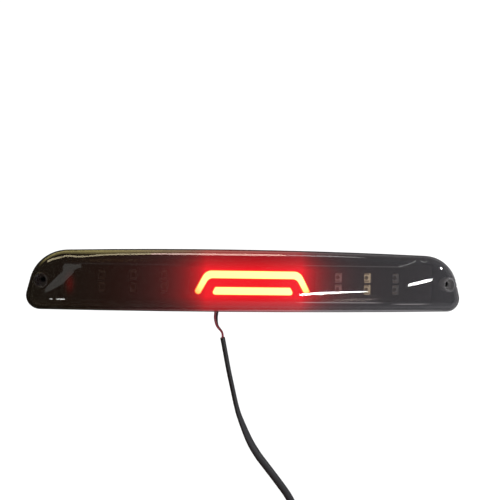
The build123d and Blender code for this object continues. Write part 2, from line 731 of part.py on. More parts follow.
def paired_wire(places, side, spreads, more=()):
    """One of the two wires that follow the places side by side."""
    points = []
    for (plane, turn), spread in list(zip(places, spreads))[::2]:
        angle = radians(90 * turn)
        points.append(plane.origin + (plane.x_dir * cos(angle) + plane.y_dir * sin(angle)) * side * spread)
    last = Vector(0, 0, -1) if more else places[-1][0].z_dir
    path = Spline(*points, *more, tangents=[places[0][0].z_dir, last])
    return sweep(Plane(origin=path @ 0, z_dir=path % 0) * Circle(WIRE_R), path)


def tail_spreads():
    low = WIRE_STEP / 2
    last = len(TAIL) - 1
    return [low + (WIRE_IN_SLEEVE - low) * index / last for index in range(len(TAIL))]


def tail_wire(side):
    return paired_wire(TAIL, side, tail_spreads())


def upper_wire(side):
    return paired_wire(UPPER, side, [WIRE_IN_SLEEVE] * len(UPPER))


def lower_spreads():
    first = len(LOWER) - 1 - PARTING_STATIONS
    part = WIRE_AT_PLUG - WIRE_IN_SLEEVE
    return [WIRE_IN_SLEEVE + part * ease((index - first) / PARTING_STATIONS) for index in range(len(LOWER))]


def lower_wire(side):
    x = PLUG_X + side * LEAD_PITCH / 2
    plug_points = [(x, CABLE_Y, PLUG_TOP), (x, CABLE_Y, PLUG_TOP - 3), (x, CABLE_Y, WIRE_END)]
    return paired_wire(LOWER, side, lower_spreads(), plug_points)


def sleeve_collar():
    """Shrunk end band that closes the sleeve's start round the two wires."""
    x, z = TAIL_LINE[-1]
    low = Plane(origin=(x, CABLE_Y, z), x_dir=(0, 1, 0), z_dir=(0, 0, 1))
    half_wide, half_thick = SLEEVE_WIDE / 2, SLEEVE_THICK / 2
    band = Ellipse(half_wide, half_thick) - Ellipse(half_wide - COLLAR_WALL, half_thick - COLLAR_WALL)
    return extrude(low * band, amount=COLLAR_LENGTH)


def plug_block(width, depth, high, low, radius):
    block = Plane(origin=(PLUG_X, CABLE_Y, low)) * RectangleRounded(width, depth, radius)
    return extrude(block, amount=high - low)


def latch_bar(radius, reach):
    """Round bar along X through the latch's turning axis."""
    section = Plane(origin=(PLUG_X, LATCH_Y, LATCH_Z), x_dir=(0, 1, 0), z_dir=(1, 0, 0)) * Circle(radius)
    return extrude(section, amount=reach, both=True)


def plug_housing():
    """Two-way plug body with a mating cavity, wire bores and two ears for the latch."""
    body = plug_block(PLUG_W, PLUG_D, PLUG_TOP, PLUG_LOW, PLUG_R)
    band = (PLUG_W + 2 * BAND_OUT, PLUG_D + 2 * BAND_OUT)
    body += plug_block(*band, PLUG_TOP - BAND_HIGH, PLUG_TOP - BAND_LOW, PLUG_R + BAND_OUT)
    cavity_top = PLUG_LOW + CAVITY_DEPTH
    body -= plug_block(PLUG_W - 2 * PLUG_WALL, PLUG_D - 2 * PLUG_WALL, cavity_top, PLUG_LOW - 1, CAVITY_R)
    ear_depth = LATCH_GAP + LATCH_T + EAR_PAST_LATCH
    for side in (-1, 1):
        x = PLUG_X + side * LEAD_PITCH / 2
        body -= upright_rod(SEAL_R, x, CABLE_Y, PLUG_TOP - SEAL_LENGTH - 1, PLUG_TOP + 1)
        body -= upright_rod(WIRE_R + FIT, x, CABLE_Y, cavity_top - 1, PLUG_TOP)
        body -= Pos(x, CABLE_Y, cavity_top + 1.5) * Box(TERMINAL_W + FIT, TERMINAL_T + FIT, 4)
        ear_x = PLUG_X + side * (LATCH_W / 2 + LATCH_SIDE_GAP + EAR_T / 2)
        ear_y = PLUG_FRONT + (FIT - ear_depth) / 2
        body += Pos(ear_x, ear_y, LATCH_Z) * Box(EAR_T, ear_depth + FIT, EAR_H)
    return body - latch_bar(TRUNNION_R + TRUNNION_GAP, LATCH_W)


def plug_latch():
    """See-saw lever with a hook at the mating end, turning on two trunnions."""
    half = LATCH_LENGTH / 2
    lever = Pos(PLUG_X, LATCH_Y, LATCH_Z) * Box(LATCH_W, LATCH_T, LATCH_LENGTH)
    hook_y = LATCH_Y + (LATCH_T + HOOK_T) / 2
    lever += Pos(PLUG_X, hook_y, LATCH_Z - half + HOOK_H / 2) * Box(LATCH_W - 2, HOOK_T, HOOK_H)
    pad_y = LATCH_Y - (LATCH_T + PAD_T) / 2
    lever += Pos(PLUG_X, pad_y, LATCH_Z + half - PAD_H / 2) * Box(LATCH_W, PAD_T, PAD_H)
    lever -= Pos(PLUG_X, LATCH_Y, LATCH_Z - SLIT_BELOW) * Box(SLIT[0], LATCH_T + 2, SLIT[1])
    return lever + latch_bar(TRUNNION_R, LATCH_W / 2 + LATCH_SIDE_GAP + EAR_T)


def plug_seals():
    """Ribbed rubber wire seals in the top of the plug."""
    seals = []
    low = PLUG_TOP - SEAL_LENGTH
    for side in (-1, 1):
        x = PLUG_X + side * LEAD_PITCH / 2
        seal = upright_rod(SEAL_R - GAP, x, CABLE_Y, low, PLUG_TOP - 0.5)
        for height in SEAL_GROOVES:
            groove = upright_rod(SEAL_R, x, CABLE_Y, low + height, low + height + GROOVE_W)
            seal -= groove - upright_rod(SEAL_R - GROOVE_DEPTH, x, CABLE_Y, low, PLUG_TOP)
        seals.append(seal - upright_rod(WIRE_R + FIT, x, CABLE_Y, low - 1, PLUG_TOP))
    return seals


def plug_terminals():
    """Flat blades in the plug's cavity, crimped below the wire ends."""
    terminals = []
    top = WIRE_END - GAP
    low = PLUG_LOW + TERMINAL_START
    for side in (-1, 1):
        x = PLUG_X + side * LEAD_PITCH / 2
        blade = Pos(x, CABLE_Y, (top + low) / 2) * Box(TERMINAL_W, TERMINAL_T, top - low)
        terminals.append(chamfer(blade.edges().group_by(Axis.Z)[0], TERMINAL_TIP))
    return terminals


# ---- write every sub-part ----
save("outer_lens", outer_lens())
save("lens_seal", lens_seal())
save("back_housing", back_housing())
save("mounting_gasket", mounting_gasket())
save("inner_bezel", inner_bezel())
save("bezel_screws", *bezel_screws())
save("light_bar_baffle", light_bar_baffle())
save("arch_light_bar", light_bar(arch_sketch))
save("lower_light_bar", light_bar(lower_bar_sketch))
save("brake_board", brake_board())
save("brake_leds", *brake_leds())
save("driver_regulator", driver_regulator())
save("driver_capacitors", *driver_capacitors())
save("driver_resistors", *driver_resistors())
save("board_link_headers", *link_connectors())
save("board_screws", *board_screws())
for side, label in ((-1, "left"), (1, "right")):
    save(label + "_cargo_board", cargo_board(side))
    save(label + "_cargo_leds", *cargo_leds(side))
    save(label + "_cargo_phosphor", *phosphor_pads(side))
    save(label + "_cargo_cell_frame", cargo_reflector(side))
    save(label + "_link_wires", *link_wires(side))
save("cable_grommet", cable_grommet())
save("vent_cap", vent_cap())
for side, colour in ((-1, "red"), (1, "black")):
    save(colour + "_lead_inner", inner_lead(side))
    save(colour + "_wire_tail", tail_wire(side))
    save(colour + "_wire_upper", upper_wire(side))
    save(colour + "_wire_lower", lower_wire(side))
save("sleeve_collar", sleeve_collar())
save("cable_sleeve_upper", oval_tube(UPPER, SLEEVE_WIDE, SLEEVE_THICK, SLEEVE_WALL))
save("cable_sleeve_lower", oval_tube(LOWER, SLEEVE_WIDE, SLEEVE_THICK, SLEEVE_WALL))
save("plug_housing", plug_housing())
save("plug_latch", plug_latch())
save("plug_seals", *plug_seals())
save("plug_terminals", *plug_terminals())
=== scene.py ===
import math
import bmesh
import bpy
import numpy as np
from mathutils import Matrix, Vector


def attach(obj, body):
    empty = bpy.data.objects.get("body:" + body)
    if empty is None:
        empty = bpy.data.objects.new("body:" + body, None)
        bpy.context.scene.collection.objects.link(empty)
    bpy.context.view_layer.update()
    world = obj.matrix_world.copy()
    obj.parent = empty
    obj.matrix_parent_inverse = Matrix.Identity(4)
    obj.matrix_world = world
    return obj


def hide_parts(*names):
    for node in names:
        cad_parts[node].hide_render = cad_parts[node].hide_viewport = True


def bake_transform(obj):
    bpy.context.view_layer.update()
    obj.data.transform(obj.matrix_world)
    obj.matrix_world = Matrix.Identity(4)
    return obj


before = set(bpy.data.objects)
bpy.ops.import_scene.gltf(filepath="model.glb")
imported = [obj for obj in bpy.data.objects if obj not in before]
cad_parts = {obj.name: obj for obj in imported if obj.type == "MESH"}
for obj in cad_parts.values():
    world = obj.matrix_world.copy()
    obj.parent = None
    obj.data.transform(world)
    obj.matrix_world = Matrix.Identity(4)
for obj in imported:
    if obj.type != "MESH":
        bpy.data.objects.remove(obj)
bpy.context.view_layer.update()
MM = 0.001

# ---------------------------------------------------------------- dimensions (mm), as in the CAD
SIDE_LEAN = math.radians(14.3)
HALF_BASE = 214.3
Z_BOTTOM, Z_TOP = -29.6, 30.7
BOTTOM_SAG, TOP_SAG = 2.0, 3.7
LOW_CORNER_R, HIGH_CORNER_R = 13.0, 35.0
LENS_BASE, LENS_FRONT = -7.0, -28.0
LENS_INSET, LENS_WALL = 0.8, 2.5
LENS_DRAFT = math.radians(14.0)
LENS_STEP = 2.0            # straight part of the lens wall above its foot
MID_HALF, MID_SAG, END_R = 140.0, 2.0, 235.0
CROWN = 900.0              # how flat the front is from top to bottom
EDGE_R_LOW, EDGE_R_HIGH, EDGE_R_END = 8.0, 13.0, 8.0
RIM_BAND, SPINE_HALF = 4.6, 176.0
SCREW_X = 195.0
SCREW_HOLE_R = 2.8
POCKET_R, POCKET_WALL, POCKET_SEAT, POCKET_FLOOR = 5.4, 1.7, -8.1, 2.5
ARCH_TOP, ARCH_TOP_T, ARCH_LEG_T = 11.35, 8.45, 7.2
ARCH_LEAN = math.radians(28.0)
FOOT_X, FOOT_Z = 52.0, -8.6
LOWER_BAR_TOP, LOWER_BAR_BOTTOM, LOWER_BAR_HALF = -4.2, -12.7, 39.6
BAR_FRONT, BAR_BACK, BAR_EDGE_R = -15.0, -4.6, 1.5
BAR_POWER = 8.0            # brightness of the lit bars
CABLE_X, CABLE_Y = -33.6, 6.0
WIRE_R, WIRE_STEP, WIRE_IN_SLEEVE = 1.05, 2.2, 1.25
SLEEVE_THICK, SLEEVE_WIDE = 4.8, 7.6
TAIL_SPLIT = -34.0         # where the piece that spans lamp and tail ends
SEAMS = (-100.0, -150.0)   # ends of the sleeve piece that spans the sleeve's two halves
PLUG_X, PLUG_TOP = 52.0, -247.0

# ---------------------------------------------------------------- camera: the photograph's viewing angle
YAW, PITCH, ROLL = math.radians(5.88), math.radians(1.58), math.radians(1.22)
LOOK_AT = Vector((-2.15, 0.0, 30.4))
DISTANCE = 500.0
SENSOR, LENS_MM = 36.0, 36.72
forward = Vector((math.sin(YAW) * math.cos(PITCH), math.cos(YAW) * math.cos(PITCH), -math.sin(PITCH)))
level = Vector((math.cos(YAW), -math.sin(YAW), 0.0))
upward = level.cross(forward)
cam_right = level * math.cos(ROLL) + upward * math.sin(ROLL)
cam_up = upward * math.cos(ROLL) - level * math.sin(ROLL)
EYE = LOOK_AT - forward * DISTANCE
camera = bpy.data.objects.new("camera", bpy.data.cameras.new("camera"))
bpy.context.scene.collection.objects.link(camera)
camera.data.sensor_width = SENSOR
camera.data.lens = LENS_MM
camera.data.clip_start = 0.01
camera_turn = Matrix((cam_right, cam_up, -forward)).transposed().to_4x4()
camera.matrix_world = Matrix.Translation(EYE * MM) @ camera_turn
bpy.context.scene.camera = camera


# ---------------------------------------------------------------- shape helpers
def rounded(points, radii, step=1.0):
    """Closed 2-D outline with each corner replaced by an arc of its radius."""
    out = []
    count = len(points)
    for i in range(count):
        before, here, after = (np.array(points[(i + k) % count], float) for k in (-1, 0, 1))
        a = (before - here) / np.linalg.norm(before - here)
        b = (after - here) / np.linalg.norm(after - here)
        half = math.acos(float(np.clip(a @ b, -1, 1))) / 2
        reach = radii[i] / math.tan(half)
        centre = here + (a + b) / np.linalg.norm(a + b) * radii[i] / math.sin(half)
        start, stop = here + a * reach - centre, here + b * reach - centre
        sweep = math.pi - 2 * half
        turn = 1 if start[0] * stop[1] - start[1] * stop[0] > 0 else -1
        pieces = max(6, int(radii[i] * sweep / step))
        for k in range(pieces + 1):
            angle = turn * sweep * k / pieces
            c, s = math.cos(angle), math.sin(angle)
            out.append(centre + np.array((c * start[0] - s * start[1], s * start[0] + c * start[1])))
    return np.array(out)


def resample(outline, step):
    """Even spacing along a closed outline, finer on its bends as they are dense already."""
    out = []
    for here, after in zip(outline, np.roll(outline, -1, axis=0)):
        pieces = max(1, int(np.linalg.norm(after - here) / step))
        for k in range(pieces):
            out.append(here + (after - here) * k / pieces)
    return np.array(out)


def inward(outline):
    """Unit normals pointing into a counter-clockwise outline."""
    ahead = np.roll(outline, -1, axis=0) - np.roll(outline, 1, axis=0)
    ahead /= np.linalg.norm(ahead, axis=1)[:, None]
    return np.stack((-ahead[:, 1], ahead[:, 0]), axis=1)


def mesh_object(name, verts, faces, smooth_angle=40.0):
    """Mesh piece from points in mm, welded, with outward normals."""
    mesh = bpy.data.meshes.new(name)
    mesh.from_pydata([Vector(v) * MM for v in verts], [], faces)
    work = bmesh.new()
    work.from_mesh(mesh)
    bmesh.ops.remove_doubles(work, verts=work.verts, dist=1e-6)
    bmesh.ops.dissolve_degenerate(work, edges=work.edges, dist=1e-7)
    bmesh.ops.recalc_face_normals(work, faces=work.faces)
    work.to_mesh(mesh)
    work.free()
    mesh.shade_smooth()
    mesh.set_sharp_from_angle(angle=math.radians(smooth_angle))
    obj = bpy.data.objects.new(name, mesh)
    bpy.context.scene.collection.objects.link(obj)
    return obj


def bridge(first, second, count):
    """Quads between two closed rings that start at these vertex numbers."""
    following = [(i + 1) % count for i in range(count)]
    return [(first + i, first + j, second + j, second + i) for i, j in enumerate(following)]


# ---------------------------------------------------------------- lamp outline and lens surface
def lamp_outline(inset=0.0):
    low, high = Z_BOTTOM + BOTTOM_SAG, Z_TOP - TOP_SAG
    half_top = HALF_BASE - (high - low) * math.tan(SIDE_LEAN)
    corners = [(-HALF_BASE, low), (HALF_BASE, low), (half_top, high), (-half_top, high)]
    radii = (LOW_CORNER_R, LOW_CORNER_R, HIGH_CORNER_R, HIGH_CORNER_R)
    line = resample(rounded(corners, radii), 3.0)
    x, z = line[:, 0], line[:, 1]
    up = TOP_SAG / high * (1 - (x / half_top) ** 2)
    down = BOTTOM_SAG / -low * (1 - (x / HALF_BASE) ** 2)
    line = np.stack((x, z * (1 + np.where(z > 0, up, down))), axis=1)
    return line + inward(line) * inset


def distance_in(points, line):
    """Distance of each point from a closed outline."""
    a, b = line, np.roll(line, -1, axis=0)
    ab = b - a
    best = np.full(len(points), 1e9)
    for start, step in zip(a, ab):
        t = np.clip(((points - start) @ step) / (step @ step), 0, 1)
        best = np.minimum(best, np.linalg.norm(points - start - t[:, None] * step, axis=1))
    return best


def front_depth(x, z):
    """Y of the lens front before its edges are rounded."""
    x = np.abs(x)
    mid_r = (MID_HALF ** 2 + MID_SAG ** 2) / (2 * MID_SAG)
    slope = math.asin(MID_HALF / mid_r)
    centre_x = MID_HALF - END_R * math.sin(slope)
    centre_y = LENS_FRONT + MID_SAG + END_R * math.cos(slope)
    middle = LENS_FRONT + mid_r - np.sqrt(mid_r ** 2 - np.minimum(x, MID_HALF) ** 2)
    end = centre_y - np.sqrt(END_R ** 2 - np.maximum(x - centre_x, 0) ** 2)
    return np.where(x < MID_HALF, middle, end) + z * z / CROWN


def edge_radius(x, z):
    """Radius between wall and front: larger along the top, smaller at the ends."""
    t = np.clip((z + 12) / 28, 0, 1)
    radius = EDGE_R_LOW + (EDGE_R_HIGH - EDGE_R_LOW) * t * t * (3 - 2 * t)
    end = np.clip((np.abs(x) - 165) / 30, 0, 1)
    return radius + (EDGE_R_END - radius) * end


def lens_depth(points, line, inward_by):
    """Y of the lens surface over each point: drafted wall and front face joined by a rounded edge."""
    d = distance_in(points, line)
    x, z = points[:, 0], points[:, 1]
    wall_start = LENS_BASE - LENS_STEP
    full = wall_start - (front_depth(x, z) + inward_by)
    radius = np.maximum(edge_radius(x, z) - inward_by * 0.6, 2.0)
    low, high = np.zeros(len(points)), full.copy()
    for _ in range(28):
        mid = (low + high) / 2
        to_wall = (d - mid * math.tan(LENS_DRAFT)) * math.cos(LENS_DRAFT)
        gap = np.hypot(np.maximum(radius - to_wall, 0), np.maximum(radius - (full - mid), 0))
        inside = gap < radius
        low, high = np.where(inside, mid, low), np.where(inside, high, mid)
    return wall_start - low


def lens_skin(inward_by):
    """Rings of the lens surface from its foot to its middle line."""
    line = lamp_outline(LENS_INSET + inward_by)
    normal = inward(line)
    rings = [np.column_stack((line[:, 0], np.full(len(line), LENS_BASE), line[:, 1]))]
    for d in np.linspace(0, RIM_BAND, 16):
        rings.append(np.column_stack((line + normal * d, np.zeros(len(line))))[:, [0, 2, 1]])
    last = line + normal * RIM_BAND
    spine = np.column_stack((np.clip(last[:, 0], -SPINE_HALF, SPINE_HALF), np.zeros(len(line))))
    for k in range(1, 27):
        t = (k / 26) ** 1.5
        rings.append(np.column_stack((last + (spine - last) * t, np.zeros(len(line))))[:, [0, 2, 1]])
    for ring in rings[1:]:
        ring[:, 1] = lens_depth(ring[:, [0, 2]], line, inward_by)
    rings[1][:, 1] = LENS_BASE - LENS_STEP
    return rings


def make_lens():
    outer, inner = lens_skin(0.0), lens_skin(LENS_WALL)
    count = len(outer[0])
    rings = outer[::-1] + inner
    verts = [tuple(v) for ring in rings for v in ring]
    faces = []
    for k in range(len(rings) - 1):
        faces += bridge(k * count, (k + 1) * count, count)
    lens = mesh_object("lens", verts, faces, 60)
    for side in (-1, 1):
        bpy.ops.mesh.primitive_cylinder_add(vertices=64, radius=(POCKET_R + 0.8) * MM, depth=0.06)
        cutter = bpy.context.object
        cutter.rotation_euler = (math.pi / 2, 0, 0)
        cutter.location = (side * SCREW_X * MM, -0.02, 0)
        cut = lens.modifiers.new("pocket", "BOOLEAN")
        cut.operation = "DIFFERENCE"
        cut.object = cutter
        cut.solver = "EXACT"
        bpy.context.view_layer.objects.active = lens
        bpy.ops.object.modifier_apply(modifier=cut.name)
        bpy.data.objects.remove(cutter)
    lens.data.shade_smooth()
    lens.data.set_sharp_from_angle(angle=math.radians(50))
    return lens


def lens_front_at(x, z):
    return float(lens_depth(np.array([(x, z)]), lamp_outline(LENS_INSET), 0.0)[0])


def make_pocket(side):
    """Screw pocket: a tube whose mouth follows the lens front, with a floor and a screw hole.

    The profile lists (radius, shift in Y, whether it is measured from the lens front or from the seat).
    """
    count = 48
    outer = POCKET_R + POCKET_WALL
    line = lamp_outline(LENS_INSET)
    angles = [2 * math.pi * i / count for i in range(count)]
    profile = [(SCREW_HOLE_R, 0.0, 0), (outer, 0.0, 0), (outer, 0.3, 1), (outer - 0.3, -0.1, 1),
               (POCKET_R + 0.5, -0.2, 1), (POCKET_R + 0.1, 0.1, 1), (POCKET_R, 0.6, 1),
               (POCKET_R, -POCKET_FLOOR, 0), (SCREW_HOLE_R, -POCKET_FLOOR, 0)]
    verts = []
    for radius, shift, at_mouth in profile:
        ring = np.array([(side * SCREW_X + radius * math.cos(a), radius * math.sin(a)) for a in angles])
        depth = lens_depth(ring, line, 0.0) if at_mouth else np.full(count, POCKET_SEAT)
        verts += [(p[0], y + shift, p[1]) for p, y in zip(ring, depth)]
    faces = []
    for k in range(len(profile)):
        faces += bridge(k * count, ((k + 1) % len(profile)) * count, count)
    return mesh_object("lens_pocket_" + ("left" if side < 0 else "right"), verts, faces, 45)


# ---------------------------------------------------------------- light bars
def arch_outline():
    along = (math.sin(ARCH_LEAN), -math.cos(ARCH_LEAN))
    out = (math.cos(ARCH_LEAN), math.sin(ARCH_LEAN))
    half = ARCH_LEG_T / 2

    def on_leg(distance, z):
        return FOOT_X + distance * out[0] + (FOOT_Z + distance * out[1] - z) * math.tan(ARCH_LEAN)

    under = ARCH_TOP - ARCH_TOP_T
    tip = (FOOT_X + half * along[0], FOOT_Z + half * along[1])
    right = [(tip[0] - half * out[0], tip[1] - half * out[1]),
             (tip[0] + half * out[0], tip[1] + half * out[1]),
             (on_leg(half, ARCH_TOP), ARCH_TOP)]
    inner = (on_leg(-half, under), under)
    points = [inner] + right + [(-x, z) for x, z in reversed(right)] + [(-inner[0], inner[1])]
    radii = [6.0, half * 0.95, half * 0.95, 10.3, 10.3, half * 0.95, half * 0.95, 6.0]
    return rounded(points, radii, 0.5)


def lower_outline():
    slant = math.tan(ARCH_LEAN)
    middle = (LOWER_BAR_TOP + LOWER_BAR_BOTTOM) / 2
    half = LOWER_BAR_HALF - 1.0
    low_x = half + (middle - LOWER_BAR_BOTTOM) * slant
    high_x = half - (LOWER_BAR_TOP - middle) * slant
    points = [(-low_x, LOWER_BAR_BOTTOM), (low_x, LOWER_BAR_BOTTOM),
              (high_x, LOWER_BAR_TOP), (-high_x, LOWER_BAR_TOP)]
    return rounded(points, (3.0, 3.0, 2.0, 2.0), 0.4)


def make_bar(name, line):
    """Light bar with a rounded front edge."""
    line = resample(line, 2.0)
    normal = inward(line)
    rings = [(0.0, BAR_BACK)]
    steps = 6
    for k in range(steps + 1):
        a = math.pi / 2 * k / steps
        rings.append((BAR_EDGE_R * (1 - math.cos(a)), BAR_FRONT + BAR_EDGE_R * (1 - math.sin(a))))
    verts = []
    for inset, y in rings:
        verts += [(x, y, z) for x, z in line + normal * inset]
    count = len(line)
    faces = []
    for k in range(len(rings) - 1):
        faces += bridge(k * count, (k + 1) * count, count)
    faces.append(tuple(range(count)))
    faces.append(tuple(range((len(rings) - 1) * count, len(rings) * count)))
    return mesh_object(name, verts, faces, 35)


# ---------------------------------------------------------------- harness
TAIL_LINE = [(CABLE_X, -18.4), (CABLE_X, -24.0), (-33.6, -30.8), (-34.0, -38.0),
             (-32.4, -45.4), (-27.5, -52.2), (-26.9, -59.5)]
SLEEVE_LINE = [(-27.1, -57.2), (-25.8, -63.0), (-20.5, -89.0), (-16.2, -107.7), (-12.0, -125.2),
               (-7.8, -138.3), (1.7, -160.4), (10.6, -175.4), (21.0, -189.2), (32.6, -204.4),
               (42.4, -218.1), (49.0, -231.0), (PLUG_X, PLUG_TOP + 4.0)]


def smooth_line(points, step):
    """Even samples of a smooth curve through the points."""
    p = np.array([points[0]] + list(points) + [points[-1]], float)
    dense = []
    for i in range(1, len(p) - 2):
        for t in np.linspace(0, 1, 24, endpoint=False):
            a, b, c, d = p[i - 1], p[i], p[i + 1], p[i + 2]
            dense.append(0.5 * (2 * b + (c - a) * t + (2 * a - 5 * b + 4 * c - d) * t * t
                                + (3 * b - a - 3 * c + d) * t ** 3))
    dense.append(p[-1])
    dense = np.array(dense)
    run = np.concatenate(([0], np.cumsum(np.linalg.norm(np.diff(dense, axis=0), axis=1))))
    even = np.linspace(0, run[-1], max(3, int(run[-1] / step)))
    return np.column_stack([np.interp(even, run, dense[:, k]) for k in (0, 1)])


def ease(t):
    t = min(max(t, 0.0), 1.0)
    return t * t * (3 - 2 * t)


def stations(points, turn_of, step=1.2):
    """(centre, wide direction, thin direction, z) along a hanging line; turn 0 lies along Y, 90 across."""
    line = smooth_line(points, step)
    found = []
    for i, (x, z) in enumerate(line):
        ahead = line[min(i + 1, len(line) - 1)] - line[max(i - 1, 0)]
        along = Vector((ahead[0], 0, ahead[1])).normalized()
        across = along.cross(Vector((0, 1, 0)))
        turn = math.radians(turn_of(z))
        wide = Vector((0, 1, 0)) * math.cos(turn) + across * math.sin(turn)
        found.append((Vector((x, CABLE_Y, z)), wide, along.cross(wide), z))
    return found


def tube(name, places, half_wide, half_thin, shift=0.0, count=24):
    """Oval tube with rounded ends along the stations, shifted along the wide direction."""
    rings = [(places[0], 0.6)] + [(p, 1.0) for p in places] + [(places[-1], 0.6)]
    verts = []
    for (centre, wide, thin, z), size in rings:
        push = shift(z) if callable(shift) else shift
        for i in range(count):
            a = 2 * math.pi * i / count
            verts.append(tuple(centre + wide * (push + half_wide * size * math.cos(a))
                               + thin * (half_thin * size * math.sin(a))))
    faces = [tuple(range(count)), tuple(range((len(rings) - 1) * count, len(rings) * count))]
    for k in range(len(rings) - 1):
        faces += bridge(k * count, (k + 1) * count, count)
    return mesh_object(name, verts, faces, 50)


def between(places, high, low):
    """The stations from height high down to height low, both ends included."""
    return [p for p in places if low - 0.7 <= p[3] <= high + 0.7]


# ---------------------------------------------------------------- material helpers
def tree_of(name):
    material = bpy.data.materials.new(name)
    material.use_nodes = True
    material.node_tree.nodes.clear()
    return material, material.node_tree


def put(tree, kind, inputs=None, **settings):
    """New shader node; inputs are values or sockets to link."""
    made = tree.nodes.new(kind)
    for key, value in settings.items():
        setattr(made, key, value)
    for key, value in (inputs or {}).items():
        socket = made.inputs[key]
        if isinstance(value, bpy.types.NodeSocket):
            tree.links.new(value, socket)
        else:
            socket.default_value = value
    return made


def calc(tree, operation, a, b=0.0, c=0.0, clamp=False):
    made = put(tree, "ShaderNodeMath", {0: a, 1: b, 2: c}, operation=operation)
    made.use_clamp = clamp
    return made.outputs[0]


def mix_colour(tree, factor, a, b):
    made = put(tree, "ShaderNodeMix", None, data_type="RGBA")
    for socket, value in ((made.inputs[0], factor), (made.inputs[6], a), (made.inputs[7], b)):
        if isinstance(value, bpy.types.NodeSocket):
            tree.links.new(value, socket)
        else:
            socket.default_value = value
    return made.outputs[2]


def place(tree):
    """Object coordinates in metres."""
    return put(tree, "ShaderNodeTexCoord").outputs["Object"]


def noise(tree, per_metre, detail=4.0, stretch=None):
    where = place(tree)
    if stretch:
        where = put(tree, "ShaderNodeMapping", {"Vector": where, "Scale": stretch}).outputs[0]
    made = put(tree, "ShaderNodeTexNoise", {"Vector": where, "Scale": per_metre, "Detail": detail})
    return made.outputs["Fac"]


def along(tree, axis):
    """Object coordinate X, Y or Z in metres."""
    return put(tree, "ShaderNodeSeparateXYZ", {0: place(tree)}).outputs[axis]


def show(tree, shader):
    """Use this shader as the material's surface."""
    out = put(tree, "ShaderNodeOutputMaterial")
    tree.links.new(shader, out.inputs[0])


def add_glow(tree, shader, colour, strength):
    """The shader with light given off on top."""
    glow = put(tree, "ShaderNodeEmission", {"Color": colour, "Strength": strength})
    return put(tree, "ShaderNodeAddShader", {0: shader, 1: glow.outputs[0]}).outputs[0]


def glow_on(material, layers):
    """Add (colour, strength) layers of light to a finished material."""
    tree = material.node_tree
    out = tree.nodes["Material Output"]
    shader = out.inputs[0].links[0].from_socket
    for colour, strength in layers:
        shader = add_glow(tree, shader, colour, strength)
    tree.links.new(shader, out.inputs[0])


def rgba(colour, gain=1.0):
    return (colour[0] * gain, colour[1] * gain, colour[2] * gain, 1.0)


def ramp(tree, factor, stops):
    """Colour ramp through (position, colour) stops."""
    made = put(tree, "ShaderNodeValToRGB", {0: factor})
    marks = made.color_ramp.elements
    for mark, (position, colour) in zip(marks, (stops[0], stops[-1])):
        mark.position = position
        mark.color = rgba(colour)
    for position, colour in stops[1:-1]:
        marks.new(position).color = rgba(colour)
    return made.outputs[0]


def surface(name, colour, rough, grain=900.0, depth=0.02, metal=0.0, spread=0.18, worn=0.12,
            stretch=None, coat=0.0):
    """General surface: mottled colour, uneven roughness, fine bump and faint wear."""
    material, tree = tree_of(name)
    broad = noise(tree, grain * 0.08, 3.0, stretch)
    fine = noise(tree, grain, 6.0, stretch)
    marks = calc(tree, "POWER", noise(tree, grain * 0.35, 8.0, (1, 4, 0.3)), 6.0)
    tone = mix_colour(tree, broad, rgba(colour, 1 - spread), rgba(colour, 1 + spread))
    tone = mix_colour(tree, calc(tree, "MULTIPLY", marks, worn, clamp=True), tone, (0.5, 0.5, 0.5, 1))
    roughness = calc(tree, "MULTIPLY_ADD", fine, 0.22, rough - 0.11, clamp=True)
    bump = put(tree, "ShaderNodeBump", {"Strength": 0.6, "Distance": depth * MM, "Height": fine})
    shader = put(tree, "ShaderNodeBsdfPrincipled",
                 {"Base Color": tone, "Roughness": roughness, "Metallic": metal,
                  "Normal": bump.outputs[0], "Coat Weight": coat})
    show(tree, shader.outputs[0])
    return material


def hump(tree, value, centre, width):
    """Smooth bump of height 1 round a value."""
    off = calc(tree, "DIVIDE", calc(tree, "SUBTRACT", value, centre), width)
    return calc(tree, "EXPONENT", calc(tree, "MULTIPLY", calc(tree, "MULTIPLY", off, off), -1.0))


def cells_with_painted_glow(name, colour, catch, grain):
    """Pale plastic of the cargo cells with painted glow standing for the daylight they catch, most in the
    column behind the streak.
    """
    material = surface(name, colour, 0.4, grain, 0.02, spread=0.10)
    tree = material.node_tree
    # Painted light: cream, pink and white glow in three columns, broken up by noise.
    painted_glow_spots = calc(tree, "MULTIPLY_ADD", noise(tree, 700.0, 2.0), 1.6, 0.1, clamp=True)
    layers = []
    for column, amount, tone in ((0.113, 1.25, (1.0, 0.84, 0.58)), (0.084, 0.55, (1.0, 0.55, 0.55)),
                                 (0.142, 0.16, (1.0, 1.0, 1.0))):
        strength = calc(tree, "MULTIPLY", hump(tree, along(tree, 0), column, 0.008), amount * catch)
        layers.append((rgba(tone), calc(tree, "MULTIPLY", strength, painted_glow_spots)))
    glow_on(material, layers)
    return material


def bezel_with_painted_edges():
    """Dark glossy bezel with painted highlights on its edges, stronger on the right."""
    material = surface("dark_bezel", (0.012, 0.010, 0.010), 0.24, 700.0, 0.01, coat=0.4)
    tree = material.node_tree
    # Painted highlight: faint white glow where the bevelled normal turns away, growing towards the right.
    flat = put(tree, "ShaderNodeNewGeometry").outputs["Normal"]
    soft = put(tree, "ShaderNodeBevel", {"Radius": 0.5 * MM}, samples=4)
    turn = put(tree, "ShaderNodeVectorMath", {0: flat, 1: soft.outputs[0]}, operation="DOT_PRODUCT")
    edge = calc(tree, "MULTIPLY", calc(tree, "SUBTRACT", 1.0, turn.outputs["Value"]), 1.5, clamp=True)
    edge = calc(tree, "MULTIPLY", edge, calc(tree, "MULTIPLY_ADD", along(tree, 0), 5.0, 0.9, clamp=True))
    glow_on(material, [((1.0, 0.96, 0.90, 1), calc(tree, "MULTIPLY", edge, 0.05))])
    return material


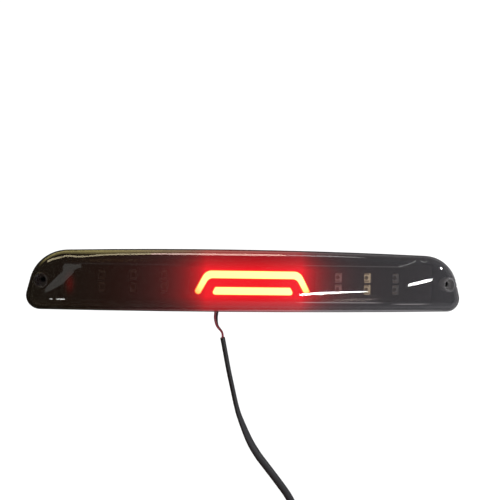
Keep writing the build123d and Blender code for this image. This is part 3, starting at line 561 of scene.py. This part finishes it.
def past(tree, value, edge, reach):
    """How far a value lies beyond an edge, in steps of a reach."""
    return calc(tree, "DIVIDE", calc(tree, "MAXIMUM", calc(tree, "SUBTRACT", value, edge), 0.0), reach)


def painted_red_glow(tree):
    """Painted red glow on the lens for the bars' light scattered in it: full between them, fading outward,
    slowest to the left.
    """
    x = calc(tree, "MULTIPLY", along(tree, 0), 1000.0)
    minus_x = calc(tree, "MULTIPLY", x, -1.0)
    off_z = calc(tree, "ABSOLUTE", calc(tree, "MULTIPLY_ADD", along(tree, 2), 1000.0, -0.2))
    total = 0.0
    for amount, reach_right, reach_left, reach_z in ((0.80, 11.0, 12.0, 11.0), (0.07, 20.0, 40.0, 30.0)):
        away = calc(tree, "ADD", past(tree, x, 44.5, reach_right), past(tree, minus_x, 45.0, reach_left))
        away = calc(tree, "ADD", away, past(tree, off_z, 12.8, reach_z))
        part = calc(tree, "EXPONENT", calc(tree, "MULTIPLY", away, -1.0))
        total = calc(tree, "MULTIPLY_ADD", part, amount, total)
    # Painted light: a small red spot near the left end.
    painted_red_spot = hump(tree, along(tree, 0), -0.1675, 0.0035)
    painted_red_spot = calc(tree, "MULTIPLY", painted_red_spot, hump(tree, along(tree, 2), -0.002, 0.007))
    return calc(tree, "MULTIPLY_ADD", painted_red_spot, 0.045, total)


def painted_crease_highlights(tree):
    """Painted highlights: thin lines of light given off along the lens's moulded creases."""
    creases = (   # z, from x, to x, strength
        (-17.2, 38.0, 126.0, 0.21),
        (-18.5, 131.0, 175.0, 0.20),
        (17.4, 40.0, 150.0, 0.040),
        (16.2, -172.0, -60.0, 0.012),
    )
    fade = 80.0
    total = 0.0
    for z, start, stop, strength in creases:
        line = hump(tree, along(tree, 2), z * MM, 0.00045)
        rise = calc(tree, "MULTIPLY_ADD", along(tree, 0), fade, -fade * start * MM, clamp=True)
        fall = calc(tree, "MULTIPLY_ADD", along(tree, 0), -fade, fade * stop * MM, clamp=True)
        line = calc(tree, "MULTIPLY", line, calc(tree, "MULTIPLY", rise, fall))
        total = calc(tree, "MULTIPLY_ADD", line, strength, total)
    return total


def smoked_lens(name, gloss_rough, haze_and_painted_light_right):
    """Clear smoke-tinted plastic: see-through, glossy, with painted light on it: painted shade darker and
    warmer to the left, a painted red glow for the bars' light scattered in it, and painted highlights along
    its creases.
    """
    material, tree = tree_of(name)
    # Painted light and shade: the see-through colour and the haze run from darker and warmer on the left to
    # lighter grey on the right.
    painted_light_to_right = calc(tree, "MULTIPLY_ADD", along(tree, 0), 2.4, 0.5, clamp=True)
    tint_and_painted_shade = mix_colour(tree, painted_light_to_right, (0.40, 0.36, 0.32, 1), (0.60, 0.58, 0.58, 1))
    haze_and_painted_side_light = mix_colour(tree, painted_light_to_right, (0.004, 0.004, 0.003, 1), rgba(haze_and_painted_light_right))
    ripple = put(tree, "ShaderNodeBump",
                 {"Strength": 0.15, "Distance": 0.02 * MM, "Height": noise(tree, 60.0, 2.0)}).outputs[0]
    clear = put(tree, "ShaderNodeBsdfTransparent", {"Color": tint_and_painted_shade})
    haze = put(tree, "ShaderNodeBsdfDiffuse", {"Color": haze_and_painted_side_light, "Normal": ripple})
    body = put(tree, "ShaderNodeAddShader", {0: clear.outputs[0], 1: haze.outputs[0]})
    rough = calc(tree, "MULTIPLY_ADD", noise(tree, 25.0, 3.0), 0.012, gloss_rough)
    gloss = put(tree, "ShaderNodeBsdfGlossy", {"Color": (1, 1, 1, 1), "Roughness": rough, "Normal": ripple})
    fresnel = put(tree, "ShaderNodeFresnel", {"IOR": 1.5, "Normal": ripple}).outputs[0]
    outside = calc(tree, "SUBTRACT", 1.0, put(tree, "ShaderNodeNewGeometry").outputs["Backfacing"])
    coat = put(tree, "ShaderNodeMixShader",
               {0: calc(tree, "MULTIPLY", fresnel, outside), 1: body.outputs[0], 2: gloss.outputs[0]})
    # Painted light: the bars' red glow and thin highlight lines given off by the outer face of the lens.
    red = calc(tree, "MULTIPLY", painted_red_glow(tree), outside)
    crease_highlight = calc(tree, "MULTIPLY", painted_crease_highlights(tree), outside)
    whole = add_glow(tree, coat.outputs[0], (1.0, 0.004, 0.016, 1), red)
    show(tree, add_glow(tree, whole, (1.0, 0.92, 0.92, 1), crease_highlight))
    return material


def pocket_surface():
    """Screw pockets: the lens's plastic left matt, with painted light making them a little lighter on the
    right.
    """
    material = smoked_lens("smoked_pocket", 0.35, (0.026, 0.025, 0.027))
    tree = material.node_tree
    # Painted light: a faint white glow growing towards the right.
    pocket_painted_light = calc(tree, "MULTIPLY", along(tree, 0), 5.0, clamp=True)
    glow_on(material, [((1, 1, 1, 1), calc(tree, "MULTIPLY", pocket_painted_light, 0.028))])
    return material


def lit_bar():
    """Glowing light guide: pale yellow in front, orange then red towards its rounded edges and feet."""
    material, tree = tree_of("lit_bar")
    normal = put(tree, "ShaderNodeNewGeometry").outputs["Normal"]
    forward_part = put(tree, "ShaderNodeSeparateXYZ", {0: normal}).outputs[1]
    front = calc(tree, "MULTIPLY", forward_part, -1.0, clamp=True)
    off_middle = calc(tree, "ABSOLUTE", along(tree, 0))
    low = calc(tree, "MULTIPLY_ADD", along(tree, 2), -90.0, 0.1, clamp=True)
    foot = calc(tree, "MULTIPLY", low, calc(tree, "MULTIPLY_ADD", off_middle, 60.0, -2.2, clamp=True))
    dimmer = calc(tree, "MULTIPLY", calc(tree, "MULTIPLY_ADD", noise(tree, 160.0, 2.0), 0.6, 0.4), foot)
    level_in = calc(tree, "SUBTRACT", front, calc(tree, "MULTIPLY", dimmer, 0.22))
    tone = ramp(tree, level_in, ((0.05, (0.12, 0.002, 0.002)), (0.55, (0.25, 0.006, 0.005)),
                                 (0.82, (1.0, 0.29, 0.05)), (0.98, (1.0, 0.84, 0.29))))
    shine = put(tree, "ShaderNodeBsdfGlossy", {"Color": (0.05, 0.05, 0.05, 1), "Roughness": 0.2})
    show(tree, add_glow(tree, shine.outputs[0], tone, BAR_POWER))
    return material


def board_surface(name, mask, copper):
    """Solder mask with fine tracks and pads showing through."""
    material, tree = tree_of(name)
    cells = put(tree, "ShaderNodeTexVoronoi", {"Vector": place(tree), "Scale": 260.0}, distance="MANHATTAN")
    off_track = calc(tree, "ABSOLUTE", calc(tree, "SUBTRACT", cells.outputs[0], 0.42))
    track = calc(tree, "LESS_THAN", off_track, 0.035)
    pads = calc(tree, "LESS_THAN", cells.outputs[0], 0.12)
    tone = mix_colour(tree, noise(tree, 60.0), rgba(mask, 0.85), rgba(mask, 1.1))
    tone = mix_colour(tree, calc(tree, "MULTIPLY", track, 0.45), tone, rgba(copper))
    tone = mix_colour(tree, pads, tone, (0.45, 0.45, 0.43, 1))
    bump = put(tree, "ShaderNodeBump", {"Strength": 0.4, "Distance": 0.03 * MM, "Height": track})
    rough = calc(tree, "MULTIPLY_ADD", noise(tree, 300.0), 0.2, 0.35)
    shader = put(tree, "ShaderNodeBsdfPrincipled",
                 {"Base Color": tone, "Roughness": rough, "Normal": bump.outputs[0]})
    show(tree, shader.outputs[0])
    return material


# ---------------------------------------------------------------- build the pieces
# The lens material carries painted shade, a painted red glow and painted highlight lines.
SMOKE = smoked_lens("smoked_lens", 0.004, (0.005, 0.0045, 0.006))
POCKET_SMOKE = pocket_surface()
LIT = lit_bar()


def finish_piece(obj, material, body, nodes=()):
    """Give a piece its material, the CAD nodes that it stands for and the body that it moves with."""
    obj.data.materials.clear()
    obj.data.materials.append(material)
    if nodes:
        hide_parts(*nodes)
    if body:
        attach(obj, body)
    return obj


finish_piece(make_lens(), SMOKE, "lamp", ["outer_lens"])
for side in (-1, 1):
    finish_piece(make_pocket(side), POCKET_SMOKE, "lamp")
finish_piece(make_bar("arch_bar", arch_outline()), LIT, "lamp", ["arch_light_bar"])
finish_piece(make_bar("lower_bar", lower_outline()), LIT, "lamp", ["lower_light_bar"])

RED_WIRE = surface("red_wire", (0.20, 0.006, 0.020), 0.38, 1500.0, 0.02, worn=0.03)
BLACK_WIRE = surface("black_wire", (0.030, 0.006, 0.012), 0.38, 1500.0, 0.02, worn=0.02)
SLEEVE = surface("sleeve_black", (0.006, 0.005, 0.007), 0.38, 1400.0, 0.03, worn=0.02, stretch=(3, 3, 0.4))
tail = stations(TAIL_LINE, lambda z: 90 * (1 - ease((-28 - z) / 24)), 0.8)
for side, label, paint in ((-1, "red", RED_WIRE), (1, "black", BLACK_WIRE)):
    def spread(z, side=side):
        return side * (WIRE_STEP / 2 + (WIRE_IN_SLEEVE - WIRE_STEP / 2) * ease((-30 - z) / 25))
    upper_part = tube("wire_" + label + "_root", between(tail, 0, TAIL_SPLIT), WIRE_R, WIRE_R, spread)
    lower_part = tube("wire_" + label + "_tail", between(tail, TAIL_SPLIT, -80), WIRE_R, WIRE_R, spread)
    finish_piece(upper_part, paint, None)
    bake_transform(upper_part)
    finish_piece(lower_part, paint, "wire_tail", [label + "_wire_tail"])

run = stations(SLEEVE_LINE, lambda z: 90 * ease((-105 - z) / 95))
spans = (("first", 0, SEAMS[0]), ("second", SEAMS[0], SEAMS[1]), ("third", SEAMS[1], PLUG_TOP))
first, second, third = (
    tube("sleeve_" + name, between(run, high, low), SLEEVE_WIDE / 2, SLEEVE_THICK / 2, 0.0, 32)
    for name, high, low in spans)
finish_piece(first, SLEEVE, None, ["sleeve_collar", "cable_sleeve_upper"])
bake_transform(first)
finish_piece(second, SLEEVE, None)
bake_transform(second)
finish_piece(third, SLEEVE, "sleeve_lower", ["cable_sleeve_lower"])

# ---------------------------------------------------------------- materials of the CAD nodes
BLACK_PLASTIC = surface("black_housing", (0.014, 0.013, 0.013), 0.5, 1100.0, 0.04)
BEZEL = bezel_with_painted_edges()
FOAM = surface("foam", (0.020, 0.020, 0.020), 0.9, 700.0, 0.35, spread=0.35)
SEAL = surface("adhesive", (0.030, 0.030, 0.032), 0.55, 400.0, 0.15)
BAFFLE = surface("baffle", (0.06, 0.006, 0.006), 0.45, 900.0, 0.03)
SCREW = surface("screw_steel", (0.55, 0.54, 0.52), 0.3, 1600.0, 0.02, metal=1.0)
# Cell materials with painted glow in the columns behind the streak.
PACKAGE = cells_with_painted_glow("led_package", (0.30, 0.28, 0.25), 1.0, 2500.0)
PHOSPHOR = cells_with_painted_glow("phosphor", (0.10, 0.07, 0.03), 0.12, 4000.0)
CELL_FRAME = cells_with_painted_glow("cell_frame", (0.16, 0.16, 0.15), 0.9, 900.0)
CARGO_BOARD = board_surface("cargo_board", (0.50, 0.44, 0.38), (0.35, 0.25, 0.15))
BRAKE_BOARD = board_surface("brake_board", (0.03, 0.16, 0.06), (0.25, 0.35, 0.10))
EPOXY = surface("epoxy", (0.02, 0.02, 0.02), 0.45, 2000.0, 0.02)
CAN = surface("can_metal", (0.70, 0.70, 0.71), 0.28, 1200.0, 0.01, metal=1.0, stretch=(1, 8, 1))
RUBBER = surface("rubber", (0.016, 0.016, 0.016), 0.7, 1500.0, 0.05)
PLUG = surface("plug_plastic", (0.018, 0.018, 0.020), 0.42, 1300.0, 0.03)
SEAL_RED = surface("wire_seal", (0.30, 0.06, 0.02), 0.6, 1500.0, 0.03)
TIN = surface("tinned", (0.66, 0.63, 0.56), 0.25, 1800.0, 0.01, metal=1.0)
RED_LED = surface("red_led", (0.60, 0.03, 0.02), 0.3, 2000.0, 0.02)

LOOKS = {
    "back_housing": BLACK_PLASTIC, "mounting_gasket": FOAM, "lens_seal": SEAL, "inner_bezel": BEZEL,
    "bezel_screws": SCREW, "light_bar_baffle": BAFFLE, "brake_board": BRAKE_BOARD, "brake_leds": RED_LED,
    "driver_regulator": EPOXY, "driver_capacitors": CAN, "driver_resistors": EPOXY,
    "board_link_headers": PACKAGE, "board_screws": SCREW, "cable_grommet": RUBBER, "vent_cap": RUBBER,
    "plug_housing": PLUG, "plug_latch": PLUG, "plug_seals": SEAL_RED, "plug_terminals": TIN,
}
for label in ("left", "right"):
    LOOKS[label + "_cargo_board"] = CARGO_BOARD
    LOOKS[label + "_cargo_leds"] = PACKAGE
    LOOKS[label + "_cargo_phosphor"] = PHOSPHOR
    LOOKS[label + "_cargo_cell_frame"] = CELL_FRAME
    LOOKS[label + "_link_wires"] = BLACK_WIRE
for label, paint in (("red", RED_WIRE), ("black", BLACK_WIRE)):
    for part in ("_lead_inner", "_wire_upper", "_wire_lower", "_wire_tail"):
        LOOKS[label + part] = paint
for name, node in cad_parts.items():
    if name in LOOKS:
        node.data.materials.clear()
        node.data.materials.append(LOOKS[name])


# ---------------------------------------------------------------- stage: floor, daylight, lights
FLOOR_SIZE, FLOOR_Z = 60.0, -290.0


def make_floor():
    bpy.ops.mesh.primitive_grid_add(x_subdivisions=8, y_subdivisions=8, size=FLOOR_SIZE,
                                    location=(0, FLOOR_SIZE / 3, FLOOR_Z * MM))
    floor = bpy.context.object
    floor.name = "floor"
    material, tree = tree_of("floor")
    tone = mix_colour(tree, noise(tree, 3.0), (0.93, 0.93, 0.93, 1), (0.95, 0.95, 0.95, 1))
    shader = put(tree, "ShaderNodeBsdfDiffuse", {"Color": tone})
    show(tree, add_glow(tree, shader.outputs[0], (1, 1, 1, 1), 0.10))
    floor.data.materials.append(material)
    floor.visible_glossy = False


def make_world():
    """White surroundings; in reflections the room is dim in front and warmer on the left."""
    world = bpy.data.worlds.new("room")
    bpy.context.scene.world = world
    world.use_nodes = True
    tree = world.node_tree
    tree.nodes.clear()
    path = put(tree, "ShaderNodeLightPath")
    xyz = put(tree, "ShaderNodeSeparateXYZ", {0: put(tree, "ShaderNodeTexCoord").outputs["Generated"]})
    across = calc(tree, "MULTIPLY_ADD", xyz.outputs[0], 0.5, 0.5, clamp=True)
    front = ramp(tree, across, ((0.40, (0.10, 0.08, 0.05)), (0.47, (0.32, 0.30, 0.28)),
                                (0.56, (0.14, 0.09, 0.08)), (0.66, (0.64, 0.63, 0.66)),
                                (0.90, (0.70, 0.70, 0.74))))
    above = calc(tree, "MULTIPLY_ADD", xyz.outputs[1], 4.0, -0.8, clamp=True)
    above = calc(tree, "MULTIPLY", above, calc(tree, "MULTIPLY_ADD", xyz.outputs[2], 5.0, -1.5, clamp=True))
    top = ramp(tree, across, ((0.40, (1.20, 1.02, 0.42)), (0.50, (0.60, 0.47, 0.35)),
                              (0.62, (0.34, 0.32, 0.32)), (0.90, (0.40, 0.40, 0.42))))
    below = calc(tree, "MULTIPLY_ADD", xyz.outputs[2], -5.0, -1.25, clamp=True)
    under = ramp(tree, across, ((0.40, (0.16, 0.11, 0.07)), (0.50, (0.50, 0.44, 0.42)),
                                (0.62, (0.95, 0.92, 0.98)), (0.90, (0.95, 0.95, 1.00))))
    behind = calc(tree, "MULTIPLY_ADD", xyz.outputs[1], 6.0, -0.3, clamp=True)
    rim = ramp(tree, across, ((0.40, (0.03, 0.025, 0.015)), (0.50, (0.20, 0.12, 0.12)),
                              (0.62, (0.45, 0.44, 0.46)), (0.90, (0.46, 0.45, 0.47))))
    room = mix_colour(tree, below, front, under)
    room = mix_colour(tree, behind, room, rim)
    room = mix_colour(tree, above, room, top)
    seen = mix_colour(tree, path.outputs["Is Glossy Ray"], (1.0, 1.0, 1.0, 1), room)
    light = put(tree, "ShaderNodeBackground", {"Color": seen, "Strength": 1.08})
    out = put(tree, "ShaderNodeOutputWorld")
    tree.links.new(light.outputs[0], out.inputs[0])


def lens_point(x, z):
    """Point and outward normal of the lens front at (x, z)."""
    step = 0.5
    y = lens_front_at(x, z)
    dx = (lens_front_at(x + step, z) - lens_front_at(x - step, z)) / (2 * step)
    dz = (lens_front_at(x, z + step) - lens_front_at(x, z - step)) / (2 * step)
    return Vector((x, y, z)), Vector((dx, -1, dz)).normalized()


def reflected(x, z, reach):
    """Where the camera sees to, reach mm away, in the reflection at this point of the lens."""
    point, normal = lens_point(x, z)
    ray = (point - EYE).normalized()
    bounce = ray - 2 * ray.dot(normal) * normal
    return point + bounce * reach


def reflection_light(name, stops, strength, colour=(1, 1, 1), reach=700.0):
    """A lit strip placed so that its reflection covers the lens along the stops (x, z, width)."""
    verts = []
    for x, z, width in stops:
        for side in (-1, 1):
            verts.append(tuple(reflected(x, z + side * width / 2, reach) * MM))
    faces = [(2 * i, 2 * i + 2, 2 * i + 3, 2 * i + 1) for i in range(len(stops) - 1)]
    mesh = bpy.data.meshes.new(name)
    mesh.from_pydata(verts, [], faces)
    strip = bpy.data.objects.new(name, mesh)
    bpy.context.scene.collection.objects.link(strip)
    material, tree = tree_of(name)
    show(tree, put(tree, "ShaderNodeEmission", {"Color": rgba(colour), "Strength": strength}).outputs[0])
    mesh.materials.append(material)
    strip.visible_camera = False
    strip.visible_diffuse = False
    strip.visible_transmission = False
    strip.visible_shadow = False


CARD_R, CARD_Y = 4.5, 0.8


def painted_shade_card(side):
    """Painted shade: a dark card just behind a screw hole, seen only from the front, darkening the view
    through the hole; the right one gives off a faint painted glow.
    """
    bpy.ops.mesh.primitive_circle_add(vertices=24, radius=CARD_R * MM, fill_type="NGON")
    card = bpy.context.object
    card.name = "painted_shade_card"
    card.rotation_euler = (math.pi / 2, 0, 0)
    card.location = (side * SCREW_X * MM, CARD_Y * MM, 0)
    material, tree = tree_of("painted_shade_card")
    dark = put(tree, "ShaderNodeBsdfDiffuse", {"Color": (0.01, 0.01, 0.01, 1)})
    clear = put(tree, "ShaderNodeBsdfTransparent")
    back = put(tree, "ShaderNodeNewGeometry").outputs["Backfacing"]
    # Painted light: the right card gives off a faint glow; the left one none.
    lit = add_glow(tree, dark.outputs[0], (1, 1, 1, 1), 0.03 if side > 0 else 0.0)
    both = put(tree, "ShaderNodeMixShader", {0: back, 1: lit, 2: clear.outputs[0]})
    show(tree, both.outputs[0])
    card.data.materials.append(material)


def make_lights():
    """Strips whose reflections are the lens's highlights, given as (x, z, width) on the lens."""
    white, warm, pink, cool = (1, 1, 1), (1, 0.86, 0.55), (1, 0.72, 0.62), (1, 0.97, 0.97)
    strips = (
        ("streak_middle", 60.0, white,
         [(42.7, -10.0, 1.6), (66, -8.3, 2.4), (84, -7.3, 1.6), (97, -6.8, 1.0), (109, -6.4, 0.5)]),
        ("streak_end", 60.0, white,
         [(148.8, -0.2, 2.0), (160.5, 2.6, 2.8), (172, 4.9, 2.4), (174.5, 6.0, 0.9)]),
        ("dash_one", 10.0, white, [(-186.0, -17.0, 0.8), (-183.2, -17.0, 0.8)]),
        ("dash_two", 14.0, white, [(-180.0, -16.9, 0.8), (-172.0, -16.6, 0.8)]),
        ("dot", 90.0, white, [(184.1, 16.5, 1.8), (185.9, 16.5, 1.8)]),
        ("top_left", 5.5, warm,
         [(-189.0, 17.0, 2.0), (-178, 20.6, 1.6), (-167, 22.4, 1.3), (-131.5, 24.4, 1.2),
          (-95.7, 25.6, 1.2)]),
        ("top_middle", 8.0, pink,
         [(-95.7, 25.6, 1.2), (-59, 26.0, 1.4), (-3.4, 26.3, 1.5), (30, 26.4, 1.2)]),
        ("top_right", 3.2, cool, [(30, 26.4, 1.0), (80, 26.1, 0.9), (108, 25.5, 0.4)]),
        ("end_band", 0.85, (1, 1, 0.93),
         [(-157, 13.8, 3.0), (-164, 11.5, 7.0), (-174, 3.0, 12.0), (-183, -4.0, 8.0),
          (-190.5, -10.0, 3.5)]),
        ("rim_end", 3.5, white, [(140, 17.6, 0.7), (151, 20.3, 0.8), (159, 23.5, 1.0)]),
    )
    for name, strength, colour, stops in strips:
        reflection_light(name, stops, strength, colour)
    for side in (-1, 1):
        painted_shade_card(side)


make_floor()
make_world()
make_lights()
scene = bpy.context.scene
scene.view_settings.view_transform = "Standard"
scene.cycles.use_denoising = True
scene.cycles.max_bounces = 8
scene.cycles.transparent_max_bounces = 24
scene.cycles.sample_clamp_indirect = 4.0
